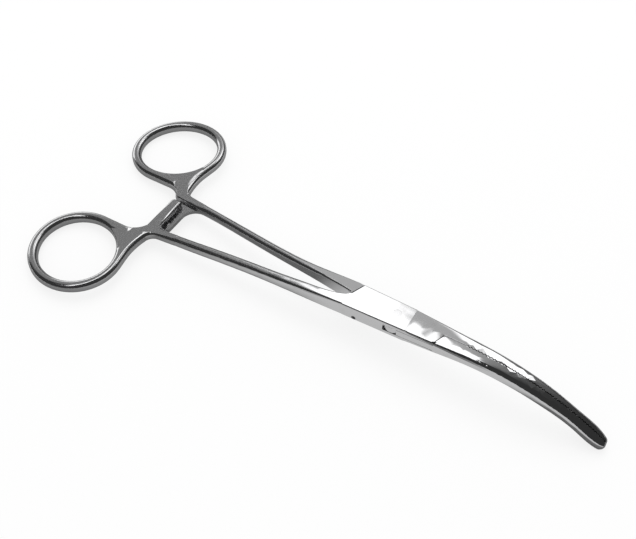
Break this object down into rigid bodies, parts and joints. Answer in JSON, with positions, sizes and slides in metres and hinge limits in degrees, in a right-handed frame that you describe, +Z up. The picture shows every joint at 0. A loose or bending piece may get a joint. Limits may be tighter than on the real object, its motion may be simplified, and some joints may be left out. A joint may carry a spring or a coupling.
{
  "type": "curved hemostat forceps",
  "caption": "Curved hemostat forceps with finger rings, a ratchet lock and a slotted box joint; the halves open about a flush pivot pin.",
  "frame": {"origin": "on the surface that the closed instrument lies on, under the middle of its bounding box", "axes": "+X towards the tips, +Y towards the ring of the tenon half, +Z up out of the surface; the instrument lies on both rings and the tips with its convex side up, so the plane of the halves is pitched 4.30 degrees about Y, rings low and box high"},
  "size_m": [0.1612, 0.0754, 0.0128],
  "materials": {
    "polished_steel": "polished surgical stainless steel",
    "pin_steel": "stainless steel, ground flush"
  },
  "bodies": {
    "slotted_half": {"slotted_half": "polished_steel", "pivot_pin": "pin_steel"},
    "tenon_half": {"tenon_half": "polished_steel"}
  },
  "joints": [
    {"name": "box_lock", "type": "hinge", "parent": "slotted_half", "child": "tenon_half", "pos_m": [0.02068, 0, 0.00906], "axis": [0.075, 0, -0.9972], "range_deg": [0, 50]}
  ]
}
